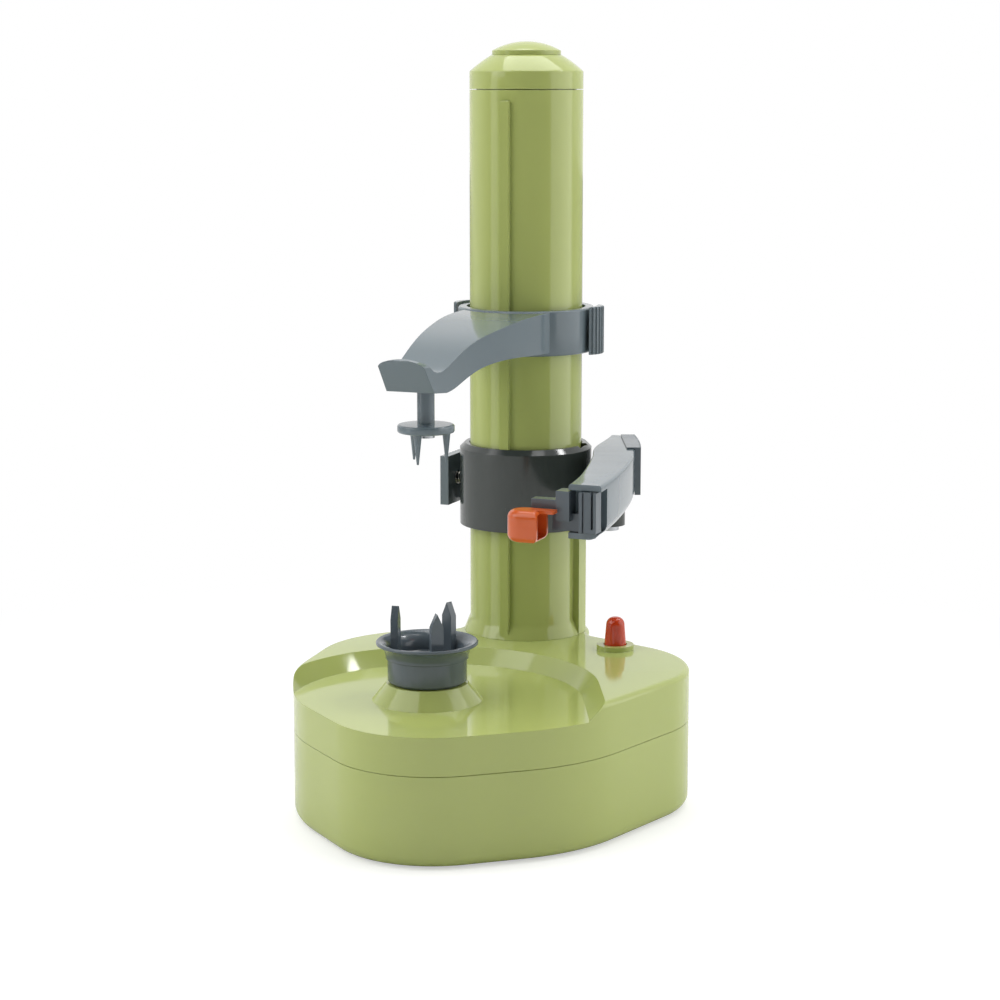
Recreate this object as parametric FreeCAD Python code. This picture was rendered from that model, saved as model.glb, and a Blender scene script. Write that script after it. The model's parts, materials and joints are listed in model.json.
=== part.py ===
"""Electric potato peeler: a round base with a motor and gears, a turning food hub, a column with a
lead screw, a sliding top arm and a sliding carriage with a sprung peeling arm. Millimetres, +Z up.

Shapes are worked out about the column axis. They are moved at export, so that the origin lies under
the middle of the whole outline, on the surface that the feet stand on.
"""
import FreeCAD, Part
import math
import os

V = FreeCAD.Vector
UP = V(0, 0, 1)

# Fits
run_fit = 0.06            # radial gap of a shaft in its bush
slide_fit = 0.35          # gap of a part that slides on the column
seat = 0.3                # gap between faces of different bodies that rest on each other
screw_fit = 0.1           # radial gap round a fixed screw or pin

# Base outline: lobes (x, y, radius) about the column axis, joined by tangent lines
lobe_shoulder = (44.0, -50.0, 40.2)
lobe_back = (10.0, -40.0, 42.0)
lobe_left = (-18.0, -58.0, 43.9)
lobe_body = (8.0, -76.0, 67.8)
lobe_nose = (8.0, -112.0, 40.0)
bulge_r = 26.2            # rear bulge round the column foot
bulge_blend = 8.0         # concave blend between the bulge and the main outline

# Base heights
foot_h = 0.6              # rubber feet below the base
lower_h = 33.6            # lower shell, from its floor to the seam
tray_h = 14.4             # seam to the tray floor
plateau_h = 5.8           # tray floor to the plateau
wall = 2.4
seam_gap = 0.2
seam_lip_h = 2.0
seam_lip_t = 1.1
floor_round = 4.0         # rounding of the lower shell's bottom edge
plateau_round = 2.2
tray_round = 2.2

# Tray
tray_rounds = [(3.5, -99.5, 54.5), (18.0, -124.0, 51.5)]   # two rounds (x, y, radius) at the floor
tray_slope = 6.0          # outward run of the step wall
tray_over = 4.0           # the cut reaches above the plateau by this

# Food spindle and hub
spindle_y = -100.0
boss_base_r = 21.0
boss_top_r = 15.2
boss_h = 6.6              # above the tray floor
spindle_r = 3.0
hub_low_r = 14.8
hub_low_h = 10.0
hub_lip = 0.7             # lip round the top of the drum
hub_flare_h = 4.4
hub_rim_r = 19.0
hub_rim_h = 1.1
hub_dish_depth = 7.5
hub_wall = 1.6
prong_count = 3
prong_ring_r = 12.0
prong_t = 2.8             # radial thickness
prong_w = 4.6
prong_h = 20.0            # above the hub's dish
prong_turn = -49.5        # direction of the first prong

# Column
column_r = 22.5
column_wall = 2.6
column_top = 271.7
foot_flare_r = 25.0
foot_flare_h = 6.2
rib_w = 3.9
rib_out = 1.6
rib_top_gap = 4.2         # below the cap seam
side_rib_w = 8.0
side_rib_out = 2.2
side_rib_h = 58.0
slot_w = 9.0              # rear slot for the nut
slot_low = 64.0
slot_high = 258.0
cap_h = 13.2
cap_side_h = 6.8          # upright part of the cap
cap_crown = 0.3           # how far the cap's slope bulges
cap_seam = 0.3
plug_r = 13.6
plug_h = 5.2
plug_gap = 0.05
plug_dome = 3.6
socket_depth = 10.0       # column spigot inside the base
floor_t = 3.0             # floor disc in the column's spigot

# Lead screw
screw_core_r = 4.0
screw_ridge = 0.9
screw_pitch = 8.0
screw_low = 70.0
screw_high = 256.0

# Gears
module = 1.0
spindle_teeth = 36
idler_teeth = 32
screw_teeth = 36
wheel_teeth = 36
small_teeth = 12
pinion_teeth = 10
backlash = 0.42
gear_gap = 0.7            # axial gap between gear layers
layer_h = 4.8
plate_t = 2.0
low_plate_z = 21.6
axle_r = 1.5
gear_boss_r = 4.6
second_angle = 25.0       # direction of the second compound gear from the spindle
first_angle = 62.0        # direction of the first compound gear from the second
motor_angle = 82.0        # direction of the motor from the first compound gear

# Motor
motor_r = 12.2
motor_len = 26.0
motor_shaft_r = 1.0
bracket_t = 1.6

# Batteries
cell_r = 7.0
cell_len = 50.0
cell_gap = 0.6
cell_x = -16.0            # middle of the pack
cell_y = -70.0
cell_count = 4
contact_t = 0.5
contact_end = 2.5         # room for the spring contacts at each end
pack_margin = 1.0
door_t = 2.0
door_margin = 5.0

# Start button
button_x = 46.5
button_y = -21.6
button_r = 4.3
button_tip_r = 3.4
button_h = 12.9
button_travel = 2.5
collar_r = 7.3
collar_h = 2.0
button_flange_r = 5.8
button_flange_t = 1.4
switch_shift = 1.5        # the switch's middle lies to the right of the button
switch_half = 6.4
pin_pitch = 5.0

# Upper arm
arm_z = 170.0
arm_h = 16.5
ring_r = 27.2
ring_drop = 1.2           # ring's lower face below the beam's
ring_oval = 1.0           # bore longer by this to each side
pad_x = 22.5              # centre of the rounded end
pad_y = 2.5
pad_r = 9.2
pad_over = 0.6            # pad's edges above and below the ring
pad_travel = 1.2
pad_wall = 1.4            # pad's thickness behind its spring
pad_ribs = 10
pad_rib_pitch = 12.0      # angle from rib to rib
rib_cut = 0.7
peg_w = 4.0
peg_h = 2.6
peg_in = 0.9              # how far a peg reaches into the ring's wall
stem_r = 3.2
stem_drop = 12.0
holder_disc_r = 10.5
holder_disc_h = 3.0
holder_prongs = 3
holder_prong_len = 11.0
holder_bore = 1.6

# Carriage
carriage_z = 98.5
carriage_h = 33.0
carriage_r = 26.6
carriage_chamfer = 2.0
lug_x = 35.0
lug_y = 2.0
lug_r = 6.6
peel_z = 112.0
peel_h = 20.0
peel_pin_r = 2.4
peel_tail_y = 26.5
grip_t = 2.4              # ribbed grip on the arm's tail
grip_low_y = -8.0
grip_pitch = 2.7
head_x = 61.1
head_y = -89.6
head_pin_r = 1.3
barrel_r = 3.1
knuckle_t = 2.2
holder_x = 32.0
holder_y = -98.6
holder_len = 13.0
holder_w = 12.0
holder_h = 12.0
holder_z = 111.0
holder_wall = 1.3
guard_round = 2.8
blade_t = 0.5
blade_edge = 2.0          # from the guard's outside to the blade's ends
lever_pin_x = -24.0
lever_pin_y = 21.4
lever_pin_r = 1.6
lever_h = 14.0
lever_t = 4.0
nut_h = 12.0
nut_gap = 0.35

# Places worked out from the sizes above
seam_z = foot_h + lower_h
tray_z = seam_z + tray_h
plateau_z = tray_z + plateau_h
boss_z = tray_z + boss_h
hub_z = boss_z + seat
hub_rim_z = hub_z + hub_low_h + hub_flare_h
hub_top = hub_rim_z + hub_rim_h
high_plate_z = low_plate_z + plate_t + 3 * layer_h + 4 * gear_gap
layer_low = low_plate_z + plate_t + gear_gap
layer_mid = layer_low + layer_h + gear_gap
layer_top = layer_mid + layer_h + gear_gap
cap_z = column_top + cap_seam
cap_top = cap_z + cap_h
plug_z = cap_top + plug_gap
arm_top = arm_z + arm_h
holder_top = arm_z - 5.8
carriage_top = carriage_z + carriage_h
peel_top = peel_z + peel_h


def pitch_r(teeth):
    return module * teeth / 2.0


def polar(x, y, radius, degrees):
    a = math.radians(degrees)
    return x + radius * math.cos(a), y + radius * math.sin(a)


mesh_small = pitch_r(spindle_teeth) + pitch_r(small_teeth)
second_xy = polar(0.0, spindle_y, mesh_small, second_angle)
first_xy = polar(*second_xy, pitch_r(wheel_teeth) + pitch_r(small_teeth), first_angle)
motor_xy = polar(*first_xy, pitch_r(wheel_teeth) + pitch_r(pinion_teeth), motor_angle)
idler_span = pitch_r(spindle_teeth) + pitch_r(idler_teeth)
idler_front_y = spindle_y + idler_span
idler_rear_y = -(pitch_r(screw_teeth) + pitch_r(idler_teeth))

# The origin: under the middle of the outline
left_edge = lobe_left[0] - lobe_left[2]
right_edge = lobe_shoulder[0] + lobe_shoulder[2]
front_edge = lobe_nose[1] - lobe_nose[2]
shift = V(-(left_edge + right_edge) / 2, -(front_edge + bulge_r) / 2, 0)

nodes = {}


def save(name, *shapes):
    """Keeps a node: one solid, or a group of separate solids."""
    solids = []
    for shape in shapes:
        solids += shape.Solids
    nodes[name] = solids[0] if len(solids) == 1 else Part.makeCompound(solids)


def box(x0, x1, y0, y1, z0, z1):
    return Part.makeBox(x1 - x0, y1 - y0, z1 - z0, V(x0, y0, z0))


def rod(x, y, z, radius, height, axis=UP):
    return Part.makeCylinder(radius, height, V(x, y, z), axis)


def cone(x, y, z, r0, r1, height):
    return Part.makeCone(r0, r1, height, V(x, y, z), UP)


def prism(wire, z0, z1):
    face = Part.Face(wire)
    face.translate(V(0, 0, z0 - face.BoundBox.ZMin))
    return face.extrude(V(0, 0, z1 - z0))


def tangent_normal(a, b):
    """Outward normal of the tangent line that leaves lobe a and reaches lobe b, anticlockwise."""
    dx, dy = b[0] - a[0], b[1] - a[1]
    span = math.hypot(dx, dy)
    dx, dy = dx / span, dy / span
    k = (a[2] - b[2]) / span
    side = math.sqrt(1 - k * k)
    return dx * k + dy * side, dy * k - dx * side


def lobe_wire(lobes, inset=0.0):
    """Closed outline round a ring of lobes, moved inward by inset."""
    count = len(lobes)
    normals = [tangent_normal(lobes[i], lobes[(i + 1) % count]) for i in range(count)]
    edges = []
    ends = []
    for i, (x, y, r) in enumerate(lobes):
        r = r - inset
        n0, n1 = normals[i - 1], normals[i]
        turn0 = math.atan2(n0[1], n0[0])
        sweep = (math.atan2(n1[1], n1[0]) - turn0) % (2 * math.pi)
        start = V(x + r * n0[0], y + r * n0[1], 0)
        middle = V(x + r * math.cos(turn0 + sweep / 2), y + r * math.sin(turn0 + sweep / 2), 0)
        end = V(x + r * n1[0], y + r * n1[1], 0)
        ends.append((start, end))
        edges.append(Part.Arc(start, middle, end).toShape())
    for i in range(count):
        edges.append(Part.LineSegment(ends[i][1], ends[(i + 1) % count][0]).toShape())
    return Part.Wire(Part.__sortEdges__(edges))


base_lobes = [lobe_shoulder, lobe_back, lobe_left, lobe_body, lobe_nose, lobe_body]


def base_block(z0, z1, inset=0.0):
    """Solid of the base outline with its rear bulge."""
    block = prism(lobe_wire(base_lobes, inset), z0, z1)
    block = block.fuse(rod(0, 0, z0, bulge_r - inset, z1 - z0)).removeSplitter()
    corner = [e for e in block.Edges if upright(e) and e.BoundBox.YMax < bulge_r and on_bulge(e, inset)]
    return block.makeFillet(bulge_blend + inset, corner)


def upright(edge):
    b = edge.BoundBox
    return b.XLength < 0.01 and b.YLength < 0.01


def on_bulge(edge, inset):
    c = edge.CenterOfMass
    return abs(math.hypot(c.x, c.y) - (bulge_r - inset)) < 0.05


def edges_at(shape, z):
    return [e for e in shape.Edges if abs(e.BoundBox.ZMin - z) < 0.01 and abs(e.BoundBox.ZMax - z) < 0.01]


def curve(points):
    """Smooth curve through points."""
    c = Part.BSplineCurve()
    c.interpolate([V(*p) for p in points])
    return c.toShape()


def line(a, b):
    return Part.LineSegment(V(*a), V(*b)).toShape()


def gear(x, y, z, teeth, height, phase, bore=0.0):
    """Spur gear with straight flanks. phase is the direction of one tooth, in radians."""
    r = pitch_r(teeth)
    tip = r + 0.85 * module
    root = r - 1.1 * module
    half = math.pi * module / 4 - backlash / 2
    half_tip = (half - 0.31 * module) / tip
    half_root = min((half + 0.38 * module) / root, math.pi / teeth * 0.8)
    pitch = 2 * math.pi / teeth
    points = []
    for i in range(teeth):
        a = phase + i * pitch
        for radius, turn in ((root, -half_root), (r, -half / r), (tip, -half_tip),
                             (tip, half_tip), (r, half / r), (root, half_root)):
            points.append(V(x + radius * math.cos(a + turn), y + radius * math.sin(a + turn), z))
    points.append(points[0])
    body = Part.Face(Part.makePolygon(points)).extrude(V(0, 0, height))
    if bore:
        body = body.cut(rod(x, y, z - 1, bore, height + 2))
    return body


def meshing(teeth_a, phase_a, teeth_b, degrees):
    """Phase of gear b, in direction degrees from gear a, so that their teeth interleave."""
    theta = math.radians(degrees)
    ahead = theta - phase_a
    return theta + math.pi + ahead * teeth_a / teeth_b + math.pi / teeth_b


def coil(x, y, z, coil_r, wire_r, height, turns):
    """Coil spring standing on z: one unbroken tube."""
    pitch = (height - 2 * wire_r) / turns
    spine = Part.makeHelix(pitch, height - 2 * wire_r, coil_r)
    ring = Part.Wire(Part.makeCircle(wire_r, V(coil_r, 0, 0), V(0, 1, 0)))
    tube = Part.Wire(spine).makePipeShell([ring], True, True)
    tube.translate(V(x, y, z + wire_r))
    return tube


def pan_screw(x, y, z, shank_r, length, head_r, head_h):
    """Screw pointing up, its head under z."""
    body = rod(x, y, z, shank_r, length).fuse(rod(x, y, z - head_h, head_r, head_h))
    cross = box(x - head_r * 0.6, x + head_r * 0.6, y - 0.4, y + 0.4, z - head_h - 0.1, z - head_h * 0.45)
    turned = cross.copy()
    turned.rotate(V(x, y, 0), UP, 90)
    return body.cut(cross.fuse(turned))


# Screw places shared by shells, plates and screws
shell_screws = [(-39.0, -32.0), (63.0, -34.0), (60.5, -102.0), (-40.0, -110.0)]
shell_post_r = 4.0
shell_screw_r = 1.4
shell_head_r = 2.9
feet_places = [(-25.0, -29.0), (62.0, -56.0), (40.0, -120.0), (-28.0, -118.0)]
foot_r = 6.5
foot_sink = 1.0
plate_posts = [(-22.0, -92.0), (21.0, -24.0), (-20.0, -26.0), (12.0, -124.0)]
post_r = 3.6
post_screw_r = 1.2


def inner_roof():
    """Space under the plateau and the tray, inside the upper shell."""
    low = base_block(seam_z - 1, tray_z - wall, wall)
    high = base_block(seam_z - 1, plateau_z - wall, wall)
    return low.fuse(high.cut(tray_tool(wall)))


def tray_wire(grow, z):
    wire = lobe_wire(tray_rounds, -grow)
    wire.translate(V(0, 0, z))
    return wire


def tray_tool(grow=0.0):
    """What the tray takes off the base block, grown outward by grow."""
    low, high = tray_z - grow, plateau_z + tray_over
    run = tray_slope * (high - tray_z) / plateau_h
    return Part.makeLoft([tray_wire(grow, low), tray_wire(grow + run, high)], True, True)


def base_upper_shell():
    low = base_block(seam_z + seam_gap, tray_z)
    low = low.makeFillet(tray_round, edges_at(low, tray_z))
    high = base_block(seam_z + seam_gap, plateau_z)
    high = high.makeFillet(plateau_round, edges_at(high, plateau_z))
    body = low.fuse(high.cut(tray_tool()))
    outer = body
    body = body.cut(inner_roof())
    body = body.fuse(cone(0, spindle_y, tray_z - 0.5, boss_base_r, boss_top_r, boss_h + 0.5))
    body = body.fuse(rod(0, spindle_y, bush_seat_z, 8.0, tray_z + 1 - bush_seat_z))
    body = body.fuse(rod(button_x, button_y, plateau_z - 0.5, collar_r, collar_h + 0.5))
    guide_z = plateau_z - wall - 8
    body = body.fuse(rod(button_x, button_y, guide_z, button_flange_r + 1.8, wall + 8))
    for x, y in shell_screws:
        post = rod(x, y, seam_z + seam_gap, shell_post_r, plateau_z)
        body = body.fuse(post.common(outer)).cut(rod(x, y, seam_z - 1, shell_screw_r, 11))
    for x, y in plate_posts:
        start = high_plate_z + plate_t
        body = body.fuse(rod(x, y, start, post_r, plateau_z).common(outer))
        body = body.cut(rod(x, y, start - 1, post_screw_r, 4.4))
    # The column's socket, the spindle's bush seat and the button's guide
    socket_z = plateau_z - socket_depth
    socket = rod(0, 0, socket_z, column_r + wall + 0.2, plateau_z - 1 - socket_z)
    body = body.fuse(socket.common(base_block(seam_z, plateau_z, 0.5)))
    body = body.cut(rod(0, 0, socket_z + plate_t, column_r + 0.15, socket_depth + 4))
    body = body.cut(rod(0, 0, socket_z - 1, screw_core_r + 4.4, 5))
    for x, y in column_screw_places:
        body = body.cut(rod(x, y, socket_z - 1, post_screw_r + 0.3, 4))
    body = body.cut(rod(0, spindle_y, tray_z - 10, bush_r, 30))
    body = body.cut(rod(button_x, button_y, plateau_z - 20, button_flange_r + 0.3, 20 - wall - 0.2))
    body = body.cut(rod(button_x, button_y, plateau_z - 5, button_r + 0.35, 12))
    return body.removeSplitter()


bush_r = 5.2
bush_flange_t = 1.2
bush_seat_z = high_plate_z + plate_t + bush_flange_t
column_screw_places = [polar(0, 0, column_r - 6.5, a) for a in (30, 150, 270)]


def base_lower_shell():
    body = base_block(foot_h, seam_z)
    body = body.makeFillet(floor_round, edges_at(body, foot_h))
    body = body.cut(base_block(foot_h + wall, seam_z + 1, wall))
    lip = base_block(seam_z - 3, seam_z + seam_lip_h, wall + seat / 2)
    lip = lip.fuse(base_block(seam_z - 3, seam_z, wall - 0.5))
    body = body.fuse(lip.cut(base_block(seam_z - 4, seam_z + seam_lip_h + 1, wall + seam_lip_t)))
    for x, y in shell_screws:
        post = rod(x, y, foot_h + 1, shell_post_r, seam_z - foot_h - 1)
        body = body.fuse(post).cut(rod(x, y, foot_h - 1, shell_screw_r + screw_fit, 60))
        body = body.cut(rod(x, y, foot_h - 1, shell_head_r + 0.2, 5.0))
    for x, y in feet_places:
        body = body.cut(rod(x, y, foot_h - 1, foot_r + 0.1, 1 + foot_sink))
    # Battery bay with a stepped opening in the floor
    x0, x1, y0, y1 = pack_box(pack_margin)
    bay_top = foot_h + wall + 2 * cell_r + 1.0
    bay = box(x0 - 1.6, x1 + 1.6, y0 - 1.6, y1 + 1.6, foot_h + 1, bay_top)
    body = body.fuse(bay.cut(box(x0, x1, y0, y1, foot_h - 1, bay_top + 1)))
    body = body.cut(box(x0, x1, y0, y1, foot_h - 1, foot_h + wall + 1))
    m = door_margin - 2
    body = body.cut(box(x0 - m, x1 + m, y0 - m, y1 + m, foot_h - 1, foot_h + door_t / 2 + 0.1))
    # Rear inlet hole
    body = body.cut(rod(inlet_x, 0, inlet_z, inlet_r + screw_fit, bulge_r + 5, V(0, 1, 0)))
    # Motor cradle
    cradle = rod(*motor_xy, foot_h + 1, motor_r + 2, motor_z - motor_len - foot_h - 1 + 5)
    inside = rod(*motor_xy, motor_z - motor_len, motor_r + screw_fit, 30)
    hollow = rod(*motor_xy, foot_h + wall, motor_r - 3, 30)
    body = body.fuse(cradle.cut(inside).cut(hollow))
    # Post under the start switch
    body = body.fuse(rod(button_x, button_y, foot_h + 1, 4.0, switch_z - foot_h - 1))
    return body.removeSplitter()


inlet_x = 0.0
inlet_z = 13.0
inlet_r = 4.5
motor_z = layer_top - gear_gap * 0.6 - bracket_t


def pack_box(margin):
    """Plan rectangle round the battery cells."""
    half_x = cell_count * cell_r + (cell_count - 1) * cell_gap / 2
    half_y = cell_len / 2 + contact_end
    return cell_x - half_x - margin, cell_x + half_x + margin, cell_y - half_y - margin, cell_y + half_y + margin


def battery_door():
    x0, x1, y0, y1 = pack_box(pack_margin)
    m = door_margin - 2 - seat
    outer = box(x0 - m, x1 + m, y0 - m, y1 + m, foot_h, foot_h + door_t / 2)
    inner = box(x0 + seat, x1 - seat, y0 + seat, y1 - seat, foot_h, foot_h + door_t)
    body = outer.fuse(inner)
    for i in range(5):
        y = y0 + 4 + i * 2.4
        body = body.cut(box(cell_x - 8, cell_x + 8, y, y + 1.2, foot_h - 1, foot_h + 0.6))
    latch = box(cell_x - 6, cell_x + 6, y0 - m, y0 - m + 1.2, foot_h, foot_h + door_t / 2)
    return body.fuse(latch).removeSplitter()


def battery_cells():
    cells = []
    z = foot_h + door_t + seat + cell_r
    for i in range(cell_count):
        x = cell_x + (i - (cell_count - 1) / 2) * (2 * cell_r + cell_gap)
        flip = 1 if i % 2 else -1
        start = V(x, cell_y - flip * (cell_len / 2 - 1), z)
        can = Part.makeCylinder(cell_r, cell_len - 2, start, V(0, flip, 0))
        tip = Part.makeCylinder(2.7, 1.0, V(x, cell_y + flip * (cell_len / 2 - 1), z), V(0, flip, 0))
        cells.append(can.fuse(tip))
    return cells


def battery_contacts():
    """Spring plates at both ends of the cells."""
    out = []
    y0, y1 = pack_box(pack_margin)[2:]
    z = foot_h + door_t + seat + cell_r
    for y in (y0, y1 - contact_t):
        for i in (-1, 1):
            mid = cell_x + i * (2 * cell_r + cell_gap)
            w = 2 * cell_r - 1.5
            plate = box(mid - w, mid + w, y, y + contact_t, z - 5, z + 6.6)
            for k in (-1, 1):
                x = mid + k * (cell_r + cell_gap / 2)
                at_tip = (k > 0) == (y > y0)
                reach = pack_margin + contact_end - contact_t - 0.1 + (0 if at_tip else 1.0)
                direction = V(0, 1 if y == y0 else -1, 0)
                start = V(x, y + (contact_t if y == y0 else 0), z)
                stud = Part.makeCone(3.0, 1.6, reach, start, direction)
                plate = plate.fuse(stud)
            out.append(plate)
    return out


def rubber_feet():
    feet = []
    for x, y in feet_places:
        foot = rod(x, y, 0, foot_r, foot_h + foot_sink)
        feet.append(foot.makeFillet(0.8, edges_at(foot, 0)))
    return feet


def base_screws():
    length = seam_z + 8 - (foot_h + 4.0)
    return [pan_screw(x, y, foot_h + 4.0, shell_screw_r, length, shell_head_r, 1.8) for x, y in shell_screws]


def dc_inlet():
    """Round low-voltage socket with its centre pin, facing backward."""
    back = V(0, 1, 0)
    body = rod(inlet_x, bulge_r - 14, inlet_z, inlet_r, 14, back)
    body = body.cut(rod(inlet_x, bulge_r - 9, inlet_z, 2.9, 12, back))
    return body.fuse(rod(inlet_x, bulge_r - 10, inlet_z, 1.0, 9.4, back)).removeSplitter()


# Start button, its spring and switch
flange_z = plateau_z - wall - 0.2 - seat - button_flange_t
switch_z = 37.4
switch_h = 5.2


def start_button():
    x, y = button_x, button_y
    shaft = rod(x, y, flange_z, button_r, plateau_z + collar_h - flange_z)
    top = plateau_z + button_h
    crown = cone(x, y, plateau_z + collar_h, button_r, button_tip_r, button_h - collar_h)
    crown = crown.makeFillet(button_tip_r - 0.4, edges_at(crown, top))
    body = shaft.fuse(crown).fuse(rod(x, y, flange_z, button_flange_r, button_flange_t))
    stem = rod(x, y, switch_z + switch_h + button_travel + 0.3, 1.6, flange_z - switch_z - switch_h - button_travel)
    return body.fuse(stem).removeSplitter()


def start_switch():
    x, y = button_x + switch_shift, button_y
    body = box(x - switch_half, x + switch_half, y - 3.2, y + 3.2, switch_z, switch_z + switch_h)
    pins = [box(x + i * pin_pitch - 0.4, x + i * pin_pitch + 0.4, y + 3.0, y + 6.2,
                switch_z + 1.2, switch_z + 2.0) for i in (-1, 0, 1)]
    return body.multiFuse(pins).removeSplitter()


# Gearbox between two plates
plate_lobes = [(motor_xy[0], motor_xy[1], motor_r + 5), (0.0, -4.0, 19.0), (-17.0, -30.0, 9.0), (0.0, -102.0, 29.0)]


def gear_plate(z, shaft_bore, motor_bore):
    body = prism(lobe_wire(plate_lobes), z, z + plate_t)
    for y in (0.0, spindle_y):
        body = body.cut(rod(0, y, z - 1, shaft_bore, plate_t + 2))
    body = body.cut(rod(*motor_xy, z - 1, motor_bore, plate_t + 2))
    for x, y in axle_places:
        body = body.cut(rod(x, y, z - 1, axle_r, plate_t + 2))
    for x, y in plate_posts:
        body = body.cut(rod(x, y, z - 1, post_screw_r + screw_fit, plate_t + 2))
    return body


axle_places = [second_xy, first_xy, (0.0, idler_front_y), (0.0, idler_rear_y)]


def gear_plate_upper():
    return gear_plate(high_plate_z, spindle_r + run_fit, motor_shaft_r + 1.0)


def gear_plate_lower():
    """Lower plate with its spacer posts, round the motor."""
    body = gear_plate(low_plate_z, spindle_r + run_fit, motor_r + 0.8)
    for x, y in plate_posts:
        post = rod(x, y, low_plate_z + plate_t - 0.2, post_r, high_plate_z - low_plate_z - plate_t + 0.2)
        body = body.fuse(post.cut(rod(x, y, low_plate_z, post_screw_r + screw_fit, 40)))
    return body.removeSplitter()


def plate_screws():
    length = high_plate_z + plate_t + 3 - low_plate_z
    return [pan_screw(x, y, low_plate_z, post_screw_r, length, 2.3, 1.3) for x, y in plate_posts]


def gear_axles():
    length = high_plate_z + plate_t - low_plate_z
    return [rod(x, y, low_plate_z, axle_r, length) for x, y in axle_places]


# Tooth directions, each worked out from its neighbour
spindle_phase = 0.0
second_small_phase = meshing(spindle_teeth, spindle_phase, small_teeth, second_angle)
first_small_phase = meshing(wheel_teeth, 0.0, small_teeth, first_angle)
pinion_phase = meshing(wheel_teeth, 0.0, pinion_teeth, motor_angle)
idler_front_phase = meshing(spindle_teeth, spindle_phase, idler_teeth, 90.0)
idler_rear_phase = meshing(idler_teeth, idler_front_phase, idler_teeth, 90.0)
screw_phase = meshing(idler_teeth, idler_rear_phase, screw_teeth, 90.0)


def compound(xy, wheel_z, small_z, small_phase):
    """Wheel and small gear in one piece, turning on an axle."""
    bore = axle_r + run_fit
    wheel = gear(*xy, wheel_z, wheel_teeth, layer_h, 0.0)
    small = gear(*xy, small_z, small_teeth, layer_h, small_phase)
    low, high = min(wheel_z, small_z), max(wheel_z, small_z) + layer_h
    hub = rod(*xy, low, 3.0, high - low)
    return wheel.fuse(small).fuse(hub).cut(rod(*xy, low - 1, bore, high - low + 2)).removeSplitter()


def idler(y, phase):
    return gear(0, y, layer_low, idler_teeth, layer_h, phase, axle_r + run_fit)


def motor_body():
    x, y = motor_xy
    z = motor_z - motor_len
    can = rod(x, y, z, motor_r, motor_len)
    can = can.makeFillet(1.2, edges_at(can, z))
    can = can.fuse(rod(x, y, motor_z, 2.6, bracket_t - 0.2))
    return can.cut(rod(x, y, motor_z - 3, motor_shaft_r + run_fit, 6))


def motor_bracket():
    x, y = motor_xy
    plate = rod(x, y, motor_z, motor_r + 0.6, bracket_t)
    body = plate
    for turn in (-35, 35):
        px, py = polar(x, y, motor_r + 2.2, motor_angle + turn)
        body = body.fuse(rod(px, py, motor_z, 2.2, high_plate_z - motor_z))
    return body.cut(rod(x, y, motor_z - 1, 2.6 + screw_fit, 4)).removeSplitter()


def motor_pinion():
    shaft = rod(*motor_xy, motor_z - 2.5, motor_shaft_r, layer_top + layer_h - motor_z + 2.5)
    return shaft.fuse(gear(*motor_xy, layer_top, pinion_teeth, layer_h, pinion_phase))


def spindle_shaft():
    top = hub_z + hub_low_h
    return rod(0, spindle_y, low_plate_z, spindle_r, top - low_plate_z)


def spindle_gear():
    body = gear(0, spindle_y, layer_low, spindle_teeth, layer_h, spindle_phase)
    return body.fuse(rod(0, spindle_y, layer_low, gear_boss_r, layer_h + 2)).cut(rod(0, spindle_y, 0, spindle_r, 60))


def spindle_bush():
    body = rod(0, spindle_y, bush_seat_z, bush_r, boss_z - bush_seat_z)
    body = body.fuse(rod(0, spindle_y, bush_seat_z - bush_flange_t, bush_r + 1.6, bush_flange_t))
    return body.cut(rod(0, spindle_y, 0, spindle_r + run_fit, 90)).removeSplitter()


def food_hub():
    """Stepped hub with a dished top and upright prongs, pressed on the spindle."""
    z0, z1, z2 = hub_z, hub_z + hub_low_h, hub_rim_z
    floor = hub_top - hub_dish_depth
    lip_r = hub_low_r + hub_lip
    drum = [(0, 0, z0), (hub_low_r - 0.8, 0, z0), (hub_low_r, 0, z0 + 0.8), (hub_low_r, 0, z1 - 1.0),
            (lip_r, 0, z1 - 0.8), (lip_r, 0, z1)]
    bend = (hub_low_r + (hub_rim_r - hub_low_r) * 0.42, 0, z1 + hub_flare_h * 0.62)
    flare = Part.Arc(V(*drum[-1]), V(*bend), V(hub_rim_r, 0, z2)).toShape()
    inner_bend = (bend[0] - hub_wall * 0.8, 0, bend[2] + hub_wall * 0.8)
    dish_low = (hub_low_r - hub_wall, 0, floor + 0.8)
    dish = Part.Arc(V(hub_rim_r - 0.9, 0, hub_top), V(*inner_bend), V(*dish_low)).toShape()
    rim = [(hub_rim_r, 0, z2), (hub_rim_r, 0, hub_top - 0.4), (hub_rim_r - 0.4, 0, hub_top),
           (hub_rim_r - 0.9, 0, hub_top)]
    bottom = [dish_low, (hub_low_r - hub_wall - 1.0, 0, floor), (0, 0, floor), (0, 0, z0)]
    edges = [line(p, q) for run in (drum, rim, bottom) for p, q in zip(run, run[1:])] + [flare, dish]
    face = Part.Face(Part.Wire(Part.__sortEdges__(edges)))
    body = face.revolve(V(0, 0, 0), UP, 360)
    body.translate(V(0, spindle_y, 0))
    body = Part.Solid(body.Shells[0])
    tip = floor + prong_h
    for i in range(prong_count):
        half = prong_w / 2
        low = floor - 0.5
        blade = [(-half, low), (half, low), (half, tip - 5), (0, tip), (-half, tip - 5), (-half, low)]
        fin = Part.Face(Part.makePolygon([V(prong_ring_r - prong_t / 2, y, z) for y, z in blade]))
        fin = fin.extrude(V(prong_t, 0, 0))
        fin.rotate(V(0, 0, 0), UP, prong_turn + i * 360 / prong_count)
        fin.translate(V(0, spindle_y, 0))
        body = body.fuse(fin)
    return body.cut(rod(0, spindle_y, z0 - 1, spindle_r, hub_low_h + 1)).removeSplitter()


# Column
column_low = plateau_z - socket_depth + plate_t
inner_r = column_r - column_wall


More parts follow.
